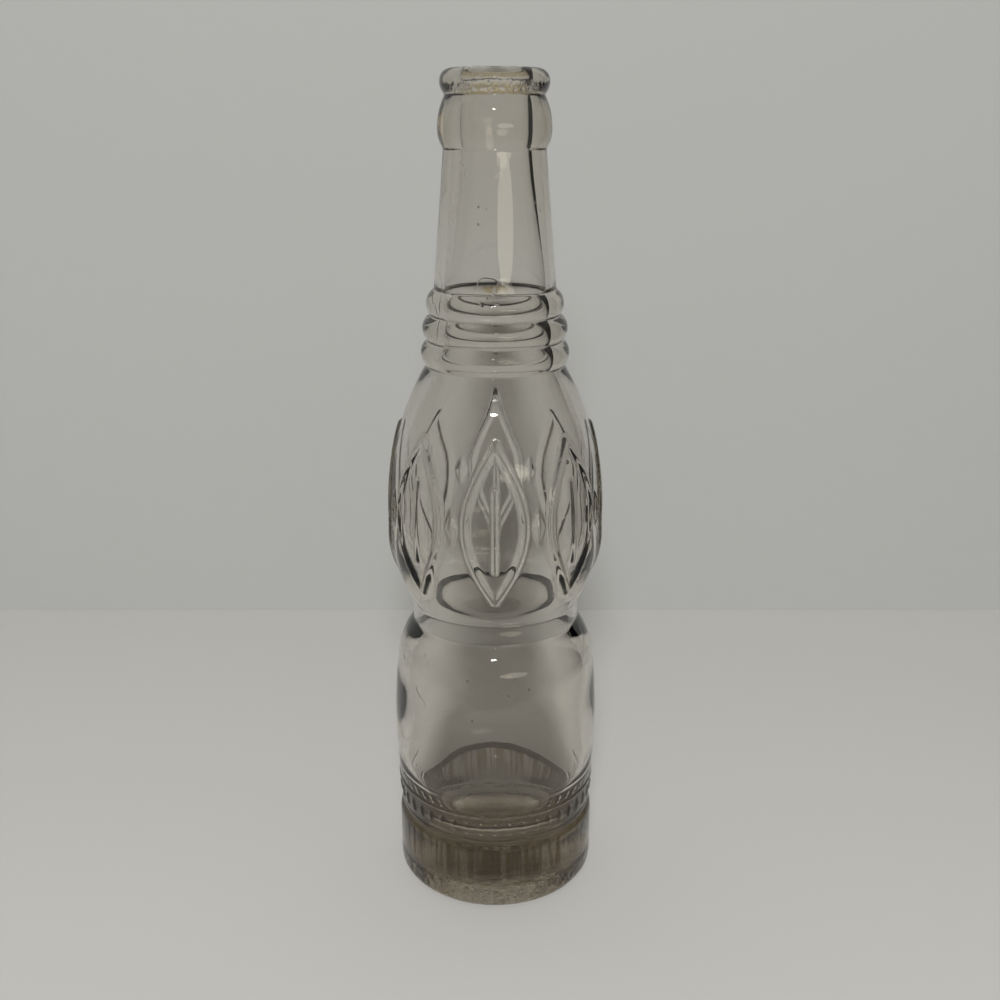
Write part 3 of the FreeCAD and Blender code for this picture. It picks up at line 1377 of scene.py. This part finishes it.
        # The stain round the mouth, and the painted golden glint at the front of the neck's foot.
        colour = net.mix(stain_and_painted_glint, colour, given["Stain"])
        colour = net.mix(net.times(deposit, net.fade(gritty, fades.grains)), colour, given["Deposit"])
        colour = net.mix(net.times(heel, net.fade(runs, fades.runs)), colour, given["Streaks"])
        net.link(colour, out["Color"])
        clean, by_scuffs, by_stain, by_deposit = self.rough
        worn = (net.times(scuffs, by_scuffs), net.times(stain_and_painted_glint, by_stain), net.times(deposit, by_deposit))
        net.link(net.plus(clean, *worn), out["Roughness"])
        of_specks, of_runs, of_crackle, of_wrinkles, of_dimples = self.pits
        height = net.plus(
            net.times(band, specks, of_specks),
            net.times(deposit, gritty),
            net.times(heel, runs, of_runs),
            net.times(under, crackle, of_crackle),
            net.times(thread, patches, inside, of_wrinkles),
            net.times(dimples, of_dimples),
        )
        net.link(height, out["Height"])
        return group

    def material(self) -> bpy.types.Material:
        """The glass, which lets a plain shade of the lamps' light through to what it stands on.

        Returns:
            The material.
        """
        material = bpy.data.materials.new("old_clear_glass")
        material.use_nodes = True
        net = Net(material.node_tree)
        net.tree.nodes.clear()
        surface = net.add("ShaderNodeGroup", node_tree=self.surface_group())
        for name, value in self.inputs().items():
            surface.inputs[name].default_value = value
        glass = net.add("ShaderNodeBsdfPrincipled")
        glass.inputs["Transmission Weight"].default_value = 1.0
        glass.inputs["Metallic"].default_value = 0.0
        glass.inputs["IOR"].default_value = self.refraction
        net.link(surface.outputs["Color"], glass.inputs["Base Color"])
        net.link(surface.outputs["Roughness"], glass.inputs["Roughness"])
        bump = net.add("ShaderNodeBump")
        bump.inputs["Distance"].default_value, bump.inputs["Strength"].default_value = self.relief
        net.link(surface.outputs["Height"], bump.inputs["Height"])
        net.link(bump.outputs["Normal"], glass.inputs["Normal"])
        light_through = net.add("ShaderNodeBsdfTransparent")
        light_through.inputs["Color"].default_value = (*self.shade, 1.0)
        path = net.add("ShaderNodeLightPath")
        to_lamp = net.math("MAXIMUM", path.outputs["Is Shadow Ray"], path.outputs["Is Diffuse Ray"])
        depth = net.add("ShaderNodeVolumeAbsorption")
        depth.inputs["Color"].default_value = (*self.depth_tint, 1.0)
        depth.inputs["Density"].default_value = self.depth_density
        out = net.add("ShaderNodeOutputMaterial")
        net.link(net.either(to_lamp, glass, light_through), out.inputs["Surface"])
        net.link(depth.outputs[0], out.inputs["Volume"])
        return material


@dataclass
class Bottle:
    """The whole bottle as one piece of glass."""

    sizes: BottleSizes = field(default_factory=BottleSizes)
    finish: GlassFinish = field(default_factory=GlassFinish)

    def build(self) -> bpy.types.Object:
        """Make the glass, close its seeds in, dress it and hand it to the frame.

        Returns:
            The finished piece.
        """
        shell = Shell(self.sizes, Relief(self.sizes)).build()
        seeds = Seeds().build()
        glass = joined([shell, seeds], "bottle_glass")
        glass.data.materials.clear()
        glass.data.materials.append(self.finish.material())
        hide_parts("bottle")
        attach(glass, "root")
        return glass


@dataclass(frozen=True)
class Sheet:
    """A plain sheet of one colour that isn't part of the object.

    Attributes:
        name: Its name.
        colour: Its colour.
        size: Its width and length, in metres.
        place: Its middle.
        tilt: How far it is tipped up from lying flat.
        seen_from_behind: Whether a view from behind sees it, and not through it.
        cuts: How many rows of faces it has each way.
        roughness: Roughness of its material.
        gloss: Specular level of its material.
    """

    name: str
    colour: Triple
    size: Point
    place: Triple
    tilt: float
    seen_from_behind: bool
    cuts: int = 8
    roughness: float = 0.9
    gloss: float = 0.1

    def build(self) -> None:
        turn = (self.tilt, 0.0, 0.0)
        deselect_all()
        bpy.ops.mesh.primitive_grid_add(
            x_subdivisions=self.cuts, y_subdivisions=self.cuts, size=1.0, location=self.place, rotation=turn
        )
        sheet = bpy.context.object
        sheet.scale = (*self.size, 1.0)
        bpy.ops.object.transform_apply(location=True, rotation=True, scale=True)
        sheet.name = self.name
        material = bpy.data.materials.new(self.name)
        material.use_nodes = True
        shader = material.node_tree.nodes["Principled BSDF"]
        shader.inputs["Base Color"].default_value = (*self.colour, 1.0)
        shader.inputs["Roughness"].default_value = self.roughness
        shader.inputs["Specular IOR Level"].default_value = self.gloss
        if not self.seen_from_behind:
            net = Net(material.node_tree)
            side = net.add("ShaderNodeNewGeometry")
            both = net.either(side.outputs["Backfacing"], shader, net.add("ShaderNodeBsdfTransparent"))
            net.link(both, net.tree.nodes["Material Output"].inputs["Surface"])
        sheet.data.materials.append(material)


@dataclass(frozen=True)
class Lamp:
    """A flat soft lamp that faces the bottle.

    Attributes:
        name: Its name.
        place: Its middle, in metres.
        width: Its width, in metres.
        height: Its height, in metres.
        glow: How bright its surface is.
        colour: Its colour.
        mirrored: Whether the glass mirrors it.
        lights_room: Whether it lights the floor and the wall.
        aim: The place it faces.
    """

    name: str
    place: Triple
    width: float
    height: float
    glow: float
    colour: Triple
    mirrored: bool
    lights_room: bool
    aim: Triple = (0.0, 0.0, 0.11)

    def build(self) -> None:
        """Make the lamp and put it into the scene."""
        light = bpy.data.lights.new(self.name, "AREA")
        light.shape = "ELLIPSE"
        light.size = self.width
        light.size_y = self.height
        light.color = self.colour
        light.energy = self.glow * self.width * self.height * math.pi ** 2 / 4
        lamp = bpy.data.objects.new(self.name, light)
        lamp.location = self.place
        facing = Vector(self.aim) - Vector(self.place)
        lamp.rotation_euler = facing.to_track_quat("-Z", "Y").to_euler()
        lamp.visible_glossy = self.mirrored
        lamp.visible_transmission = self.mirrored
        lamp.visible_diffuse = self.lights_room
        lamp.visible_camera = False
        bpy.context.scene.collection.objects.link(lamp)


@dataclass(frozen=True)
class Studio:
    """The pale floor and wall, the lamps, the room round them and the camera.

    Attributes:
        floor_colour: Colour of the floor.
        wall_colour: Colour of the wall.
        sides: Where the floor and the wall end on the left and on the right, in metres.
        depths: Where the floor starts in front and ends at the wall, in metres.
        wall_height: How high the wall is, in metres.
        lamps: The lamps.
        backdrop: The room as the camera sees it past the wall.
        pale_room: The room in front of the bottle, as the glass sees it.
        dim_room: The rest of the room.
        dark_room: The dark part of it, at the right.
        dark_side: Its middle, as a turn from the back.
        front_fade: Where the pale part starts and is full, along the depth of the room.
        top_fade: The same along the height.
        dark_fade: The same for the dark part, towards its middle.
        camera_place: Where the camera stands, in metres.
        camera_tilt: How far it is tipped up from looking straight down.
        lens: Its focal length for a picture 36 mm wide.
        camera_near: The nearest that it sees, in metres.
    """

    floor_colour: Triple = (0.50, 0.50, 0.49)
    wall_colour: Triple = (0.345, 0.35, 0.345)
    sides: Point = (-0.55, 0.27)
    depths: Point = (-0.20, 0.177)
    wall_height: float = 0.9
    lamps: tuple[Lamp, ...] = (
        Lamp("front_lamp", (-0.02, -1.30, 0.92), 0.36, 0.36, 94.0, (1.0, 0.98, 0.95), False, True),
        Lamp("small_lamp", (-0.03, -1.30, 0.96), 0.22, 0.04, 45.0, (1.0, 0.98, 0.95), True, False),
        Lamp("window", (0.50, -1.30, 0.30), 0.80, 0.20, 2.5, (1.0, 0.93, 0.76), True, False),
        Lamp("overhead", (0.0, -0.35, 1.6), 2.2, 2.2, 0.18, (1.0, 1.0, 1.0), False, True),
    )
    backdrop: Triple = (0.46, 0.465, 0.46)
    pale_room: Triple = (0.34, 0.34, 0.33)
    dim_room: Triple = (0.175, 0.172, 0.164)
    dark_room: Triple = (0.012, 0.012, 0.011)
    dark_side: float = math.radians(66.0)
    front_fade: Point = (0.25, -0.10)
    top_fade: Point = (0.75, 0.40)
    dark_fade: Point = (0.80, 0.90)
    camera_place: Triple = (0.00127, -0.294, 0.206)
    camera_tilt: float = math.radians(71.8)
    lens: float = 41.76
    camera_near: float = 0.01

    def build(self) -> None:
        """Set up everything round the bottle."""
        (left, right), (front, back) = self.sides, self.depths
        width, across = right - left, (left + right) / 2
        floor_place = (across, (front + back) / 2, 0.0)
        wall_place = (across, back, self.wall_height / 2)
        wall_size = (width, self.wall_height)
        Sheet("studio_floor", self.floor_colour, (width, back - front), floor_place, 0.0, True).build()
        Sheet("studio_wall", self.wall_colour, wall_size, wall_place, math.pi / 2, False).build()
        for lamp in self.lamps:
            lamp.build()
        self.world()
        self.camera()

    def world(self) -> None:
        """A dim room: pale in front and for the camera, dark at the right."""
        world = bpy.data.worlds.new("room")
        world.use_nodes = True
        bpy.context.scene.world = world
        net = Net(world.node_tree)
        axes = net.add("ShaderNodeSeparateXYZ")
        net.link(net.add("ShaderNodeTexCoord").outputs["Generated"], axes.inputs[0])
        x, y, z = axes.outputs
        pale = net.times(net.fade(y, self.front_fade), net.fade(z, self.top_fade))
        right = net.times(x, math.sin(self.dark_side))
        back = net.times(y, math.cos(self.dark_side))
        dark = net.fade(net.plus(right, back), self.dark_fade)
        path = net.add("ShaderNodeLightPath")
        room = net.mix(pale, net.colour(self.dim_room), net.colour(self.pale_room))
        room = net.mix(dark, room, net.colour(self.dark_room))
        room = net.mix(path.outputs["Is Diffuse Ray"], room, net.colour(self.dim_room))
        room = net.mix(path.outputs["Is Camera Ray"], room, net.colour(self.backdrop))
        background = world.node_tree.nodes["Background"]
        net.link(room, background.inputs["Color"])
        background.inputs["Strength"].default_value = 1.0

    def camera(self) -> None:
        """The camera where the photograph was taken from."""
        data = bpy.data.cameras.new("camera")
        data.sensor_width = 36.0
        data.lens = self.lens
        data.clip_start = self.camera_near
        camera = bpy.data.objects.new("camera", data)
        camera.location = self.camera_place
        camera.rotation_euler = (self.camera_tilt, 0.0, 0.0)
        bpy.context.scene.collection.objects.link(camera)
        bpy.context.scene.camera = camera


def main() -> None:
    """Build the bottle and its studio, and report what was made."""
    logging.basicConfig(level=logging.INFO, format="%(message)s")
    bpy.context.scene.view_settings.view_transform = "Standard"
    glass = Bottle().build()
    LOG.info("%s: %d points, %d faces", glass.name, len(glass.data.vertices), len(glass.data.polygons))
    studio = Studio()
    studio.build()
    LOG.info("studio: floor, wall, %d lamps and the camera", len(studio.lamps))


if __name__ == "__main__":
    main()
